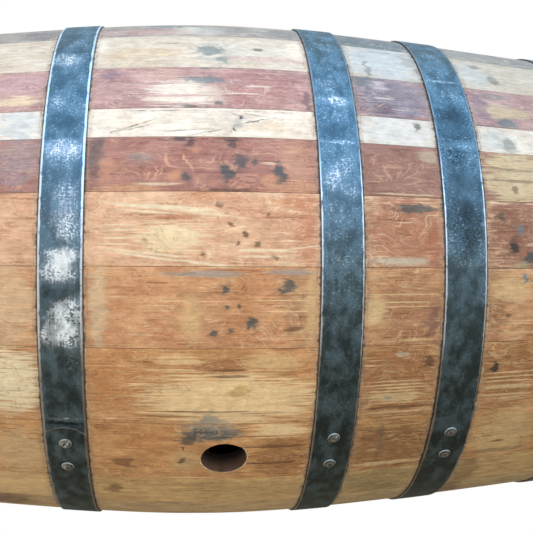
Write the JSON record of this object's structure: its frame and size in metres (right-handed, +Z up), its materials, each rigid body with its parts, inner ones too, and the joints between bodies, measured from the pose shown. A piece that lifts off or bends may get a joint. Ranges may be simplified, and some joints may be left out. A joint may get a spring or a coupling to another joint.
{
  "type": "wine barrel",
  "caption": "Bulging oak cask of dry-jointed staves held by riveted steel hoops, with grooved-in plank heads and an open bung hole in its side.",
  "frame": {"origin": "on the barrel's axis, in the floor plane that the lower chime stands on", "axes": "+Z up along the barrel's axis, -Y straight out through the middle of the bung hole, +X to the right when facing the bung hole"},
  "size_m": [0.6858, 0.6885, 0.952],
  "materials": {
    "stave_wood": "satin, sanded in swirls, strong colour changes from stave to stave",
    "head_wood": "satin planed oak",
    "hoop_steel": "mottled galvanised strap steel, darkened",
    "rivet_steel": "hammered steel"
  },
  "bodies": {
    "root": {"bung_stave": "stave_wood", "stave_02": "stave_wood", "stave_03": "stave_wood", "stave_04": "stave_wood", "stave_05": "stave_wood", "stave_06": "stave_wood", "stave_07": "stave_wood", "stave_08": "stave_wood", "stave_09": "stave_wood", "stave_10": "stave_wood", "stave_11": "stave_wood", "stave_12": "stave_wood", "stave_13": "stave_wood", "stave_14": "stave_wood", "stave_15": "stave_wood", "stave_16": "stave_wood", "stave_17": "stave_wood", "stave_18": "stave_wood", "stave_19": "stave_wood", "stave_20": "stave_wood", "stave_21": "stave_wood", "stave_22": "stave_wood", "stave_23": "stave_wood", "stave_24": "stave_wood", "stave_25": "stave_wood", "stave_26": "stave_wood", "stave_27": "stave_wood", "bottom_head_board_1": "head_wood", "bottom_head_board_2": "head_wood", "bottom_head_board_3": "head_wood", "bottom_head_board_4": "head_wood", "bottom_head_board_5": "head_wood", "bottom_head_board_6": "head_wood", "top_head_board_1": "head_wood", "top_head_board_2": "head_wood", "top_head_board_3": "head_wood", "top_head_board_4": "head_wood", "top_head_board_5": "head_wood", "top_head_board_6": "head_wood", "bottom_head_hoop": "hoop_steel", "bottom_quarter_hoop": "hoop_steel", "bottom_bilge_hoop": "hoop_steel", "top_bilge_hoop": "hoop_steel", "top_quarter_hoop": "hoop_steel", "top_head_hoop": "hoop_steel", "bottom_head_rivet_1": "rivet_steel", "bottom_head_rivet_2": "rivet_steel", "bottom_quarter_rivet_1": "rivet_steel", "bottom_quarter_rivet_2": "rivet_steel", "bottom_bilge_rivet_1": "rivet_steel", "bottom_bilge_rivet_2": "rivet_steel", "top_bilge_rivet_1": "rivet_steel", "top_bilge_rivet_2": "rivet_steel", "top_quarter_rivet_1": "rivet_steel", "top_quarter_rivet_2": "rivet_steel", "top_head_rivet_1": "rivet_steel", "top_head_rivet_2": "rivet_steel"}
  },
  "joints": []
}
